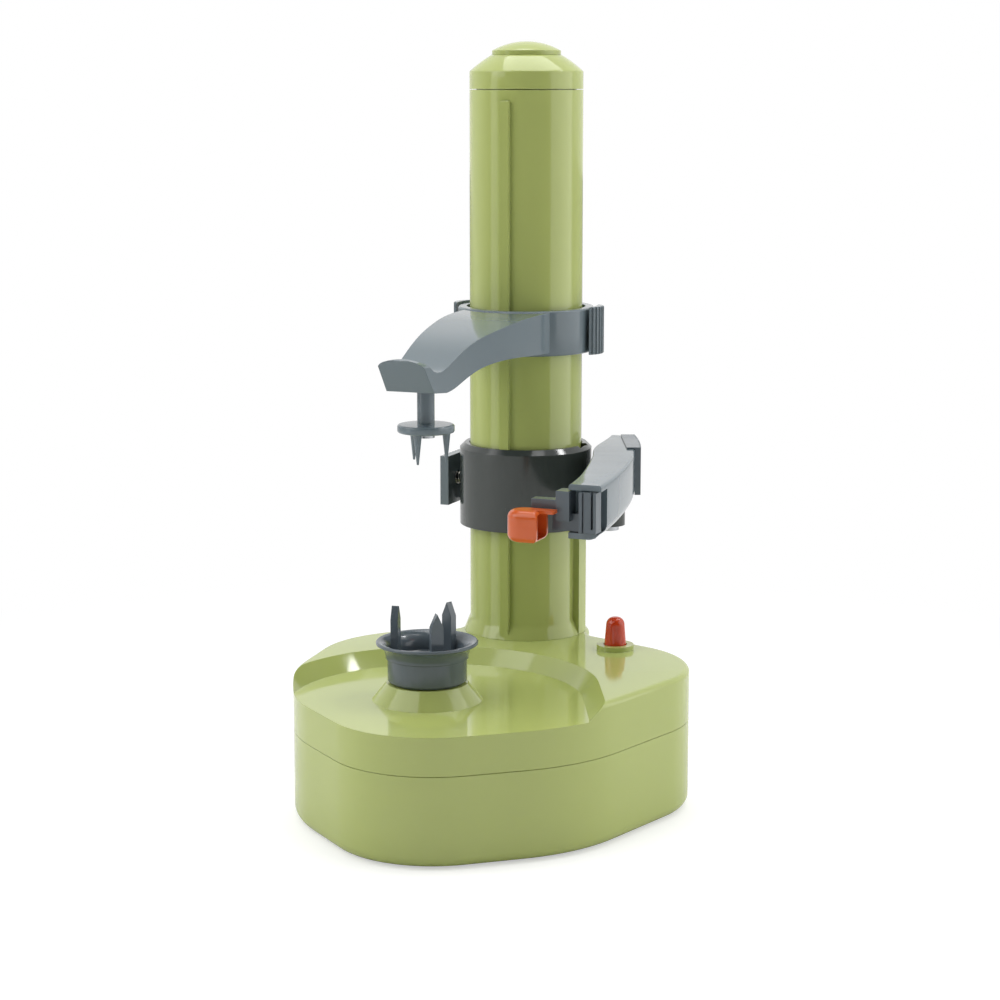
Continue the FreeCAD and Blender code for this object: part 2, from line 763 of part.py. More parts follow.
def column_tube():
    body = rod(0, 0, column_low, column_r, column_top - column_low)
    body = body.fuse(cone(0, 0, plateau_z, foot_flare_r, column_r, foot_flare_h))
    rib_h = column_top - rib_top_gap - plateau_z
    body = body.fuse(box(-rib_w / 2, rib_w / 2, -column_r - rib_out, -column_r + 2, plateau_z, plateau_z + rib_h))
    body = body.fuse(box(column_r - 2, column_r + side_rib_out, -side_rib_w / 2, side_rib_w / 2,
                         plateau_z, plateau_z + side_rib_h))
    body = body.cut(rod(0, 0, column_low + floor_t, inner_r, column_top))
    body = body.cut(box(-slot_w / 2, slot_w / 2, inner_r - 6, column_r + 4, slot_low, slot_high))
    body = body.cut(rod(0, 0, column_low - 1, screw_core_r + 1.2, 6))
    for x, y in column_screw_places:
        body = body.cut(rod(x, y, column_low - 1, post_screw_r, floor_t + 2))
    return body.removeSplitter()


def column_screws():
    z = plateau_z - socket_depth
    return [pan_screw(x, y, z, post_screw_r, plate_t + floor_t, 2.3, 1.3) for x, y in column_screw_places]


def screw_foot_bush():
    z = column_low - plate_t
    body = rod(0, 0, z, screw_core_r + 1.2, plate_t + floor_t)
    body = body.fuse(rod(0, 0, column_low + floor_t, screw_core_r + 3.2, 1.4))
    return body.cut(rod(0, 0, z - 1, spindle_r + run_fit, 12))


def screw_top_bush():
    body = rod(0, 0, slot_high + 3, inner_r, 4)
    body = body.cut(rod(0, 0, slot_high, spindle_r + run_fit, 12))
    for i in range(3):
        x, y = polar(0, 0, inner_r * 0.58, 90 + 120 * i)
        body = body.cut(rod(x, y, slot_high, 4.6, 12))
    return body


def lead_screw():
    """Screw with one helical ridge between two plain journals."""
    body = rod(0, 0, low_plate_z, spindle_r, slot_high + 7 - low_plate_z)
    length = screw_high - screw_low
    body = body.fuse(rod(0, 0, screw_low, screw_core_r, length))
    return body.fuse(coil(0, 0, screw_low, screw_core_r, screw_ridge, length, length / screw_pitch))


def screw_gear():
    body = gear(0, 0, layer_low, screw_teeth, layer_h, screw_phase)
    return body.fuse(rod(0, 0, layer_low, gear_boss_r, layer_h + 2)).cut(rod(0, 0, 0, spindle_r, 60))


def column_cap():
    shoulder = (column_r, 0, cap_z + cap_side_h)
    brow = (plug_r + 0.2, 0, cap_top)
    run, rise = shoulder[0] - brow[0], brow[2] - shoulder[2]
    span = math.hypot(run, rise)
    middle_x = (shoulder[0] + brow[0]) / 2 + cap_crown * rise / span
    middle_z = (shoulder[2] + brow[2]) / 2 + cap_crown * run / span
    slope = Part.Arc(V(*shoulder), V(middle_x, 0, middle_z), V(*brow)).toShape()
    foot = (column_r, 0, cap_z)
    edges = [line((0, 0, cap_z), foot), line(foot, shoulder), slope, line(brow, (0, 0, cap_top)),
             line((0, 0, cap_top), (0, 0, cap_z))]
    body = Part.Face(Part.Wire(Part.__sortEdges__(edges))).revolve(V(0, 0, 0), UP, 360)
    body = body.makeFillet(0.6, edges_at(body, cap_z + cap_side_h))
    body = body.cut(rod(0, 0, cap_z - 1, inner_r - 3, cap_h - 3))
    skirt = rod(0, 0, cap_z - 5, inner_r - 0.15, 6)
    body = body.fuse(skirt.cut(rod(0, 0, cap_z - 6, inner_r - 3, 12)))
    return body.cut(rod(0, 0, cap_z, plug_r - 4, cap_h + 5)).removeSplitter()


def cap_plug():
    disc = rod(0, 0, plug_z, plug_r, plug_h)
    dome_r = (plug_r ** 2 + plug_dome ** 2) / (2 * plug_dome)
    ball = Part.makeSphere(dome_r, V(0, 0, plug_z + plug_h - dome_r))
    disc = disc.common(ball)
    stem = rod(0, 0, cap_top - 4, plug_r - 4 - 0.05, 4 + plug_gap + 0.5)
    return disc.fuse(stem).removeSplitter()


# Upper arm
arm_top_line = [(-10.0, 16.0), (-30.0, 16.0), (-46.0, 15.4), (-62.0, 13.8), (-80.0, 11.0), (-92.0, 7.6),
                (-101.0, 4.2), (-107.5, 2.4), (-113.5, 3.0), (-118.5, 6.0), (-121.5, 8.4)]
arm_under_line = [(-10.0, 0.0), (-30.0, 0.6), (-50.0, 1.5), (-66.0, 1.4), (-80.0, -0.2), (-90.0, -2.8),
                  (-98.0, -5.0), (-104.0, -5.7)]
arm_lip_front = (-123.6, 7.6)
arm_lip_low = (-113.6, -4.8)
arm_side_line = [(17.6, -10.0), (17.4, -34.0), (14.6, -62.0), (11.2, -88.0), (9.9, -104.0), (9.4, -114.0),
                 (8.9, -124.5)]
arm_arch = [(-9.9, 2.0), (-9.4, 4.7), (-7.9, 6.2), (-4.4, 7.5), (0.0, 8.0), (4.4, 7.5), (7.9, 6.2), (9.4, 4.7),
            (9.9, 2.0)]
arch_start = -110.5       # the arch shapes the beam in front of this


def arm_beam():
    """Curved beam: a side profile crossed with a plan outline, and an arched lip at its end."""
    top = [(0.0, y, arm_z + z) for y, z in arm_top_line]
    under = [(0.0, y, arm_z + z) for y, z in arm_under_line]
    front = (0.0, arm_lip_front[0], arm_z + arm_lip_front[1])
    low = (0.0, arm_lip_low[0], arm_z + arm_lip_low[1])
    edges = [curve(top), line(top[-1], front), line(front, low), line(low, under[-1]), curve(under),
             line(under[0], top[0])]
    side = Part.Face(Part.Wire(Part.__sortEdges__(edges))).extrude(V(60, 0, 0))
    side.translate(V(-30, 0, 0))
    right = [(x, y, 0.0) for x, y in arm_side_line]
    left = [(-x, y, 0.0) for x, y in arm_side_line]
    edges = [curve(right), curve(left), line(right[0], left[0]), line(right[-1], left[-1])]
    plan = Part.Face(Part.Wire(Part.__sortEdges__(edges))).extrude(V(0, 0, 60))
    plan.translate(V(0, 0, arm_z - 30))
    beam = side.common(plan)
    # Arched lip
    arch = [(x, 0.0, arm_z + z) for x, z in arm_arch]
    low_left = (arch[0][0], 0.0, arm_z - 20)
    low_right = (arch[-1][0], 0.0, arm_z - 20)
    edges = [curve(arch), line(arch[-1], low_right), line(low_right, low_left), line(low_left, arch[0])]
    keep = Part.Face(Part.Wire(Part.__sortEdges__(edges))).extrude(V(0, -20, 0))
    keep.translate(V(0, arch_start, 0))
    keep = keep.fuse(box(-30, 30, arch_start, 10, arm_z - 30, arm_z + 30))
    return beam.common(keep)


def oval_bore(z, height):
    """Bore round the column, longer to the sides than from front to back."""
    r = column_r + slide_fit
    bore = rod(-ring_oval, 0, z, r, height).common(rod(ring_oval, 0, z, r, height))
    wide = rod(-ring_oval, 0, z, r, height).fuse(rod(ring_oval, 0, z, r, height))
    wide = wide.fuse(box(-ring_oval, ring_oval, -r, r, z, z + height))
    return wide.fuse(bore)


def rib_notch(z, height):
    w = rib_w / 2 + slide_fit
    return box(-w, w, -column_r - rib_out - slide_fit, -column_r + 3, z, z + height)


ring_z = arm_z - ring_drop
pad_back_r = ring_r + pad_travel + slide_fit
spring_z = (ring_z + arm_top) / 2
peg_places = [ring_z + 3.4, arm_top - 3.4 - peg_h]


def upper_arm():
    ring = rod(0, 0, ring_z, ring_r, arm_top - ring_z)
    ring = ring.makeFillet(0.8, edges_at(ring, ring_z) + edges_at(ring, arm_top))
    body = ring.fuse(arm_beam())
    through = arm_top - ring_z + 2
    body = body.cut(oval_bore(ring_z - 1, through)).cut(rib_notch(ring_z - 1, through))
    w = peg_w / 2 + slide_fit
    for z in peg_places:
        body = body.cut(box(-ring_r - 1, ring_r + 1, pad_y - w, pad_y + w, z - slide_fit, z + peg_h + slide_fit))
    body = body.cut(rod(0, spindle_y, arm_z - 10, holder_bore, 14))
    return body.removeSplitter()


def ribbed_pad(side):
    """Release pad: a ribbed crescent beside the ring, with two pegs in the ring's wall."""
    z0 = ring_z - pad_over
    height = arm_top + pad_over - z0
    body = rod(pad_x, pad_y, z0, pad_r, height)
    body = body.makeFillet(0.6, body.Edges)
    for i in range(pad_ribs):
        x, y = polar(pad_x, pad_y, pad_r + 0.1, (i + 0.5 - pad_ribs / 2) * pad_rib_pitch)
        body = body.cut(rod(x, y, z0 - 1, rib_cut, height + 2))
    body = body.cut(rod(0, 0, z0 - 1, pad_back_r, height + 2))
    for z in peg_places:
        peg = box(ring_r - peg_in, pad_x + pad_r - 2.0, pad_y - peg_w / 2, pad_y + peg_w / 2, z, z + peg_h)
        body = body.fuse(peg)
    body = body.cut(rod(ring_r, pad_y, spring_z, 2.8, pad_spring_len, V(1, 0, 0)))
    if side < 0:
        body = body.mirror(V(0, 0, 0), V(1, 0, 0))
    return body.removeSplitter()


pad_spring_len = pad_x + pad_r - pad_wall - ring_r


def pad_spring(side):
    spring = coil(0, 0, 0, 2.1, 0.3, pad_spring_len, 3)
    spring.rotate(V(0, 0, 0), V(0, 1, 0), 90)
    spring.translate(V(ring_r, pad_y, spring_z))
    return spring if side > 0 else spring.mirror(V(0, 0, 0), V(1, 0, 0))


holder_low = holder_top - seat - stem_drop


def top_holder():
    """Stem with a small disc and prongs, turning on a shoulder screw."""
    body = rod(0, spindle_y, holder_low, stem_r, stem_drop)
    disc = rod(0, spindle_y, holder_low - holder_disc_h, holder_disc_r, holder_disc_h)
    disc = disc.makeFillet(0.8, disc.Edges)
    body = body.fuse(disc)
    for i in range(holder_prongs):
        x, y = polar(0, spindle_y, holder_disc_r - 3, 30 + 360 * i / holder_prongs)
        tip_z = holder_low - holder_disc_h - holder_prong_len
        body = body.fuse(cone(x, y, tip_z, 0.4, 1.6, holder_prong_len + 0.5))
    return body.cut(rod(0, spindle_y, holder_low - 20, holder_bore + run_fit, 60)).removeSplitter()


def holder_screw():
    z = holder_low - holder_disc_h - seat
    body = rod(0, spindle_y, z, holder_bore, arm_z + 4 - z)
    head = rod(0, spindle_y, z - 1.6, 3.2, 1.6)
    return body.fuse(head).cut(box(-0.4, 0.4, spindle_y - 3, spindle_y + 3, z - 2, z - 1))


# Carriage
lug_top = peel_z - seat
lever_z = carriage_z + (carriage_h - lever_h) / 2


def sector(r0, r1, a0, a1, z, height):
    """Piece of a ring between two directions."""
    ring = Part.makeCylinder(r1, height, V(0, 0, z), UP, a1 - a0)
    ring.rotate(V(0, 0, 0), UP, a0)
    return ring.cut(rod(0, 0, z - 1, r0, height + 2))


def carriage_ring():
    body = rod(0, 0, carriage_z, carriage_r, carriage_h)
    body = body.makeChamfer(carriage_chamfer, edges_at(body, carriage_top))
    lug_line = lobe_wire([(lug_x, lug_y, lug_r), (lug_x - 14, lug_y, lug_r + 1)])
    body = body.fuse(prism(lug_line, carriage_z + 1, lug_top))
    for z in (lever_z - seat - 4, lever_z + lever_h + seat):
        lug = prism(lobe_wire([(lever_pin_x, lever_pin_y, 3.8), (-15.0, 13.5, 6.0)]), z, z + 4)
        body = body.fuse(lug)
    body = body.cut(rod(0, 0, carriage_z - 1, column_r + slide_fit, carriage_h + 2))
    body = body.cut(rib_notch(carriage_z - 1, carriage_h + 2))
    w = side_rib_w / 2 + slide_fit
    body = body.cut(box(column_r - 3, column_r + side_rib_out + slide_fit, -w, w, carriage_z - 1, carriage_top + 1))
    body = body.cut(sector(20, 40, 74, 152, lever_z - seat, lever_h + 2 * seat))
    body = body.cut(rod(lug_x, lug_y, carriage_z, peel_pin_r + run_fit, 30))
    body = body.cut(rod(lug_x, lug_y, lug_top - 6.4, peel_pin_r + 2.3, 10))
    body = body.cut(rod(lever_pin_x, lever_pin_y, carriage_z, lever_pin_r, carriage_h))
    return body.removeSplitter()


def lever_pin():
    return rod(lever_pin_x, lever_pin_y, lever_z - seat - 4, lever_pin_r, lever_h + 2 * seat + 8)


lever_pad_x = -33.4


def nut_lever():
    """Release lever: a ribbed pad on the left, a pivot, and a bar that reaches the nut through the slot."""
    bar = sector(column_r + 0.7, carriage_r, 80, 138, lever_z, lever_h)
    pivot = rod(lever_pin_x, lever_pin_y, lever_z, 3.4, lever_h)
    neck = box(-3.0, 3.0, nut_back, column_r + 2.5, lever_z + 3, lever_z + lever_h - 3)
    lever_top = lever_z + lever_h
    arm_line = lobe_wire([(lever_pin_x - 1.0, lever_pin_y - 1.0, 2.4), (lever_pad_x + 2.6, 8.0, 1.8)])
    arm = prism(arm_line, lever_z, lever_top)
    pad = box(lever_pad_x, lever_pad_x + lever_t - 0.4, -10, 10, lever_z - 3, lever_top + 3)
    web = prism(lobe_wire([(lever_pin_x, lever_pin_y, 3.4), (-17.6, 17.2, 1.9)]), lever_z, lever_top)
    body = bar.fuse(pivot).fuse(web).fuse(neck).fuse(arm).fuse(pad)
    for i in range(6):
        y = -10 + (i + 1) * 20 / 7.0
        body = body.cut(box(lever_pad_x - 1, lever_pad_x + 0.9, y - 0.6, y + 0.6, lever_z - 4, lever_top + 4))
    body = body.cut(rod(lever_pad_x + 2.0, 0, lever_z + lever_h / 2, 2.9, 6, V(1, 0, 0)))
    return body.cut(rod(lever_pin_x, lever_pin_y, 0, lever_pin_r + run_fit, 200)).removeSplitter()


nut_back = 14.0


def half_nut():
    z = lever_z + (lever_h - nut_h) / 2
    body = box(-7, 7, 2.2, nut_back, z, z + nut_h)
    return body.cut(rod(0, 0, z - 1, screw_core_r + screw_ridge + nut_gap, nut_h + 2))


def lever_spring():
    start = lever_pad_x + 2.2
    length = -carriage_r - start - 0.05
    spring = coil(0, 0, 0, 2.2, 0.35, length, 3)
    spring.rotate(V(0, 0, 0), V(0, 1, 0), 90)
    spring.translate(V(start, 0, lever_z + lever_h / 2))
    return spring


# Peeling arm
peel_outer = [(65.6, -93.0), (63.4, -71.0), (58.9, -45.0), (54.1, -24.0), (48.6, -6.0), (42.5, 10.0),
              (34.8, peel_tail_y)]
peel_inner = [(27.0, peel_tail_y), (28.4, 18.0), (29.8, 6.0), (31.6, -6.0), (37.0, -23.0), (43.4, -46.0),
              (49.2, -70.0), (53.0, -93.0)]


def arm_blank():
    outer = [(x, y, 0.0) for x, y in peel_outer]
    inner = [(x, y, 0.0) for x, y in peel_inner]
    edges = [curve(outer), line(outer[-1], inner[0]), curve(inner), line(inner[-1], outer[0])]
    body = Part.Face(Part.Wire(Part.__sortEdges__(edges))).extrude(V(0, 0, peel_h))
    body.translate(V(0, 0, peel_z))
    return body


def peeling_arm():
    """C-shaped arm from its ribbed tail round the column's right side to the blade head."""
    body = arm_blank()
    lower = [e for e in edges_at(body, peel_z) if e.CenterOfMass.x > 47 and e.Length > 60]
    body = body.makeFillet(5.0, lower)
    upper = [e for e in edges_at(body, peel_top) if e.Length > 60]
    body = body.makeFillet(1.0, upper)
    # Room for the head's barrel between two knuckles
    room_z, room_top = peel_z + knuckle_t, peel_top - knuckle_t
    body = body.cut(box(head_x - 15, head_x + 15, head_y - 9, head_y + barrel_r + 1.6, room_z, room_top))
    body = body.cut(rod(head_x, head_y, peel_z - 1, head_pin_r, peel_h + 0.2))
    body = body.cut(rod(lug_x, lug_y, peel_z - 1, peel_pin_r, 18))
    return body.removeSplitter()


def tail_grip():
    """Ribbed grip on the outside of the arm's tail, moulded over it."""
    outer = [(x, y, 0.0) for x, y in peel_outer if y > grip_low_y]
    first = (outer[0][0], outer[0][1], 0.0)
    last = outer[-1]
    out_x, out_y = math.cos(math.radians(24)), math.sin(math.radians(24))
    near = [(at[0] + grip_t * out_x, at[1] + grip_t * out_y, 0.0) for at in outer]
    back = (last[0] - 3.0, last[1] - 1.0, 0.0)
    front = (first[0] - 3.0, first[1] - 1.0, 0.0)
    edges = [curve(near), line(near[-1], back), line(back, front), line(front, near[0])]
    body = Part.Face(Part.Wire(Part.__sortEdges__(edges))).extrude(V(0, 0, peel_h - 1.0))
    body.translate(V(0, 0, peel_z + 1.6))
    body = body.cut(arm_blank())
    a = near[0]
    b = near[-1]
    count = int(math.hypot(b[0] - a[0], b[1] - a[1]) / grip_pitch)
    spline = curve(near)
    for i in range(count):
        at = spline.valueAt(spline.FirstParameter + (i + 0.5) / count * (spline.LastParameter - spline.FirstParameter))
        body = body.cut(rod(at.x + 0.3, at.y + 0.1, peel_z, 0.95, peel_h + 3))
    return max(body.Solids, key=lambda solid: solid.Volume)


def arm_pivot_pin():
    body = rod(lug_x, lug_y, carriage_z, peel_pin_r, peel_z + 17 - carriage_z)
    return body.fuse(rod(lug_x, lug_y, carriage_z - 1.0, peel_pin_r + 1.8, 1.7))


def arm_spring():
    return coil(lug_x, lug_y, lug_top - 6.2, peel_pin_r + 1.3, 0.35, 5.9, 3)


def head_pin():
    return rod(head_x, head_y, peel_z, head_pin_r, peel_h - 0.8)


def blade_bracket():
    """Head carrier: barrel with upright leaves, a bar, an upright block and the holder's plate."""
    z0 = peel_z + knuckle_t + seat
    z1 = peel_top - knuckle_t - seat
    body = rod(head_x, head_y, z0, barrel_r, z1 - z0)
    leaf = box(head_x - 3.4, head_x + 3.2, head_y - 5.6, head_y, z0, z1)
    leaf = leaf.cut(box(head_x + 1.3, head_x + 2.1, head_y - 6, head_y - 3.6, z0 + 1.6, z1 + 1))
    leaf = leaf.cut(box(head_x - 2.1, head_x - 1.5, head_y - 6, head_y - 4.8, z0 - 1, z1 + 1))
    body = body.fuse(leaf)
    bar_x = holder_x + holder_len + 1.5
    body = body.fuse(box(bar_x, head_x, head_y - 2.6, head_y + 2.0, z0, z0 + 6.6))
    body = body.fuse(box(head_x - 12.3, head_x - 7.1, head_y - 5.4, head_y + 1.6, z0 + 4, z1))
    plate_z = holder_z + holder_h - 0.2
    body = body.fuse(box(holder_x + 7.0, head_x - 10.6, head_y - 4.6, head_y + 0.4, plate_z, plate_z + 3.2))
    return body.cut(rod(head_x, head_y, 0, head_pin_r + run_fit, 200)).removeSplitter()


def blade_holder():
    """Guard with a rounded nose, open at its far end where the peel comes out."""
    r = holder_w / 2
    y0, y1 = holder_y - r, holder_y + r
    x1 = holder_x + holder_len
    z1 = holder_z + holder_h - 0.2
    outer = rod(holder_x + r, holder_y, holder_z, r, z1 - holder_z)
    outer = outer.fuse(box(holder_x + r, x1, y0, y1, holder_z, z1)).removeSplitter()
    outer = outer.makeFillet(guard_round, edges_at(outer, z1) + edges_at(outer, holder_z))
    t = holder_wall
    inside = rod(holder_x + r, holder_y, holder_z + t, r - t, z1 - holder_z - 2 * t)
    inside = inside.fuse(box(holder_x + r, x1 + 1, y0 + t, y1 - t, holder_z + t, z1 - t)).removeSplitter()
    inside = inside.makeFillet(guard_round - t, edges_at(inside, z1 - t) + edges_at(inside, holder_z + t))
    window = box(holder_x - 1, holder_x + 7.5, holder_y + 1.0, y1 + 1, holder_z + 1.8, z1 - 1.8)
    body = outer.cut(inside).cut(window)
    flap = box(holder_x + 7, x1 + 4.5, holder_y - 1.0, y1 - 2.6, z1 - t, z1)
    return body.fuse(flap).removeSplitter()


def steel_blade():
    """Thin blade across the guard's window."""
    r = holder_w / 2
    z1 = holder_z + holder_h - 0.2
    y = holder_y + r - holder_wall - blade_t - 1.2
    return box(holder_x + 3.0, holder_x + 6.6, y, y + blade_t, holder_z + blade_edge, z1 - blade_edge)


save("base_lower_shell", base_lower_shell())
save("base_upper_shell", base_upper_shell())
save("battery_door", battery_door())
save("battery_cells", *battery_cells())
save("battery_contacts", *battery_contacts())
save("rubber_feet", *rubber_feet())
save("base_screws", *base_screws())
save("dc_inlet", dc_inlet())
save("start_button", start_button())
save("button_spring", coil(button_x, button_y, switch_z + switch_h, 3.0, 0.4, flange_z - switch_z - switch_h, 4))
save("start_switch", start_switch())
save("gear_plate_upper", gear_plate_upper())
save("gear_plate_lower", gear_plate_lower())
save("plate_screws", *plate_screws())
save("gear_axles", *gear_axles())
save("motor_body", motor_body())
save("motor_bracket", motor_bracket())
save("motor_pinion", motor_pinion())
save("first_compound_gear", compound(first_xy, layer_top, layer_mid, first_small_phase))
save("second_compound_gear", compound(second_xy, layer_mid, layer_low, second_small_phase))
save("spindle_shaft", spindle_shaft())
save("spindle_gear", spindle_gear())
save("spindle_bush", spindle_bush())
save("idler_gear_front", idler(idler_front_y, idler_front_phase))
save("idler_gear_rear", idler(idler_rear_y, idler_rear_phase))
save("screw_gear", screw_gear())
save("food_hub", food_hub())
save("column_tube", column_tube())
save("column_screws", *column_screws())
save("screw_foot_bush", screw_foot_bush())
save("screw_top_bush", screw_top_bush())
save("lead_screw", lead_screw())
save("column_cap", column_cap())
save("cap_plug", cap_plug())
save("upper_arm", upper_arm())
save("upper_pad_right", ribbed_pad(1))
save("upper_pad_left", ribbed_pad(-1))
save("pad_spring_right", pad_spring(1))
save("pad_spring_left", pad_spring(-1))
save("top_holder", top_holder())
save("holder_screw", holder_screw())
save("carriage_ring", carriage_ring())
save("nut_lever", nut_lever())
save("lever_pin", lever_pin())
save("half_nut", half_nut())
save("lever_spring", lever_spring())
save("peeling_arm", peeling_arm())
save("tail_grip", tail_grip())
save("arm_pivot_pin", arm_pivot_pin())
save("arm_spring", arm_spring())
save("head_pin", head_pin())
save("blade_bracket", blade_bracket())
save("blade_holder", blade_holder())
save("steel_blade", steel_blade())

os.makedirs("parts", exist_ok=True)
for name, shape in nodes.items():
    shape.translate(shift)
    shape.exportStep(f"parts/{name}.step")
    print(name, round(shape.Volume), shape.isValid(), len(shape.Solids))
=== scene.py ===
import bpy
import bmesh
import json
import math
import numpy as np
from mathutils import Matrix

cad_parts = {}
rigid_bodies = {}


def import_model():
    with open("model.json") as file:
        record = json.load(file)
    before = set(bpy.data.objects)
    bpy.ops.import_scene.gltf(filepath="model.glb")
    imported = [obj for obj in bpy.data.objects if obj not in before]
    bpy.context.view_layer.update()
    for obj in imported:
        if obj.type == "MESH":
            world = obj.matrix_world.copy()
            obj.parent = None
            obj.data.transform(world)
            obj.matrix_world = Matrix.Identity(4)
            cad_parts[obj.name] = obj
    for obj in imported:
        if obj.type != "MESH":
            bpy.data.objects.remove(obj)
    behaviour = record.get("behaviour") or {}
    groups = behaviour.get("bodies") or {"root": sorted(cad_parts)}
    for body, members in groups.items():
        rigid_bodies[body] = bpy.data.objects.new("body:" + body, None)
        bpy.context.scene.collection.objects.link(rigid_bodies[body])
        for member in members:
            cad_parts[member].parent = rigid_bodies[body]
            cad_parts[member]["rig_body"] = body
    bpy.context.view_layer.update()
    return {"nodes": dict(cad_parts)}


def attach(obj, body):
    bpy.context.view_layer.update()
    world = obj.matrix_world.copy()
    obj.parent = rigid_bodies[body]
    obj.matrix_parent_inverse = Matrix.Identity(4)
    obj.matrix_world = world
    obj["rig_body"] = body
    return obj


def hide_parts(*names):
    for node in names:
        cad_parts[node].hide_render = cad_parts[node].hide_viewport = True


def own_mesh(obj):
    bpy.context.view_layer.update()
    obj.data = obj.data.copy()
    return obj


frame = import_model()


# Camera
# A studio camera with a portrait lens, 0.96 m from the column, a little above it and 22 degrees
# round to the right of the front. It looks down by ten degrees.
camera_place = (0.3388, -0.8311, 0.277)
camera_turn = 22.0            # degrees to the right of the front
camera_dip = 10.02            # degrees below level
lens_mm = 86.4
camera_data = bpy.data.cameras.new("camera")
camera_data.lens = lens_mm
camera_data.sensor_width = 36.0
camera_data.clip_start = 0.05
camera_data.clip_end = 40.0
camera = bpy.data.objects.new("camera", camera_data)
bpy.context.scene.collection.objects.link(camera)
camera.location = camera_place
camera.rotation_euler = (math.radians(90 - camera_dip), 0, math.radians(camera_turn))
bpy.context.scene.camera = camera
bpy.context.scene.view_settings.view_transform = "Standard"


# Lower shell
# The base's lower half is a deep tub of ABS, injection moulded in a polished steel tool. It is an
# even yellow-green with a gloss that shows the lamps, and a faint ripple where the melt cooled.
def linear(hex_colour):
    """sRGB hex to linear light, with full opacity."""
    parts = [int(hex_colour[i:i + 2], 16) / 255 for i in (1, 3, 5)]
    return [p / 12.92 if p <= 0.04045 else ((p + 0.055) / 1.055) ** 2.4 for p in parts] + [1.0]


def add(tree, kind, sets=None, links=None, **settings):
    """Adds one node: settings are its properties, sets its input values and links what feeds its inputs."""
    node = tree.nodes.new("ShaderNode" + kind)
    for key, value in settings.items():
        setattr(node, key, value)
    for key, value in (sets or {}).items():
        node.inputs[key].default_value = value
    for key, socket in (links or {}).items():
        tree.links.new(socket, node.inputs[key])
    return node


def finish(name):
    """A new material with its tree, its object coordinates and its output."""
    material = bpy.data.materials.new(name)
    material.use_nodes = True
    tree = material.node_tree
    tree.nodes.clear()
    place = add(tree, "TexCoord").outputs["Object"]
    return material, tree, place


def moulded(name, hex_colour, gloss=0.12, ripple_mm=9.0, ripple=0.03, grain_mm=0.0, grain=0.0):
    """Injection-moulded plastic, refractive index 1.53. The colour drifts a little over 30 mm, light enters
    it by less than half a millimetre, a wide ripple bends its reflections, hairline scratches and finger
    marks dull its gloss, and tool grain adds a fine bump. Edges shade as if rounded."""
    drift_mm, rub_mm, edge_mm, glow_mm = 30.0, 20.0, 0.3, 0.4
    shade, wear = 0.035, 0.12                       # share of the colour, and roughness of a scratch
    hair_scale = (1400.0, 26.0, 26.0)               # hairs under 1 mm apart and about 40 mm long
    hair_turns = (0.5, 2.3)                         # radians
    ripple_m, grain_m = 0.0004, 0.0001              # height of the ripple and of the grain at strength 1
    material, tree, place = finish(name)
    colour = linear(hex_colour)[:3]
    drift = add(tree, "TexNoise", {"Scale": 1000 / drift_mm, "Detail": 3.0, "Roughness": 0.6},
                {"Vector": place})
    dark = [c * (1 - shade) for c in colour] + [1.0]
    light = [min(1.0, c * (1 + shade)) for c in colour] + [1.0]
    tint = add(tree, "Mix", {6: dark, 7: light}, {"Factor": drift.outputs["Fac"]}, data_type="RGBA")
    marks = None
    for turn in hair_turns:
        lay = add(tree, "Mapping", {"Rotation": (turn, 0.7 * turn, turn), "Scale": hair_scale},
                  {"Vector": place})
        hair = add(tree, "TexNoise", {"Scale": 1.0, "Detail": 2.0}, {"Vector": lay.outputs["Vector"]})
        mark = add(tree, "MapRange", {"From Min": 0.68, "From Max": 0.76, "To Min": 0.0, "To Max": wear},
                   {"Value": hair.outputs["Fac"]})
        if marks is None:
            marks = mark
        else:
            marks = add(tree, "Math", links={0: marks.outputs[0], 1: mark.outputs[0]}, operation="MAXIMUM")
    rub = add(tree, "TexNoise", {"Scale": 1000 / rub_mm, "Detail": 5.0, "Roughness": 0.65}, {"Vector": place})
    base = add(tree, "MapRange",
               {"From Min": 0.35, "From Max": 0.7, "To Min": gloss * 0.8, "To Max": gloss * 1.3},
               {"Value": rub.outputs["Fac"]})
    rough = add(tree, "Math", links={0: base.outputs[0], 1: marks.outputs[0]}, operation="ADD")
    soft = add(tree, "Bevel", {"Radius": edge_mm / 1000}, samples=6)
    wave = add(tree, "TexNoise", {"Scale": 1000 / ripple_mm, "Detail": 1.0}, {"Vector": place})
    normal = add(tree, "Bump", {"Strength": ripple, "Distance": ripple_m},
                 {"Height": wave.outputs["Fac"], "Normal": soft.outputs["Normal"]})
    if grain:
        fine = add(tree, "TexNoise", {"Scale": 1000 / grain_mm, "Detail": 2.0}, {"Vector": place})
        normal = add(tree, "Bump", {"Strength": grain, "Distance": grain_m},
                     {"Height": fine.outputs["Fac"], "Normal": normal.outputs["Normal"]})
    shader = add(tree, "BsdfPrincipled",
                 {"IOR": 1.53, "Subsurface Weight": 0.12, "Subsurface Radius": (1.0, 0.8, 0.5),
                  "Subsurface Scale": glow_mm / 1000},
                 {"Base Color": tint.outputs[2], "Roughness": rough.outputs[0],
                  "Normal": normal.outputs["Normal"]})
    add(tree, "OutputMaterial", links={"Surface": shader.outputs["BSDF"]})
    return material


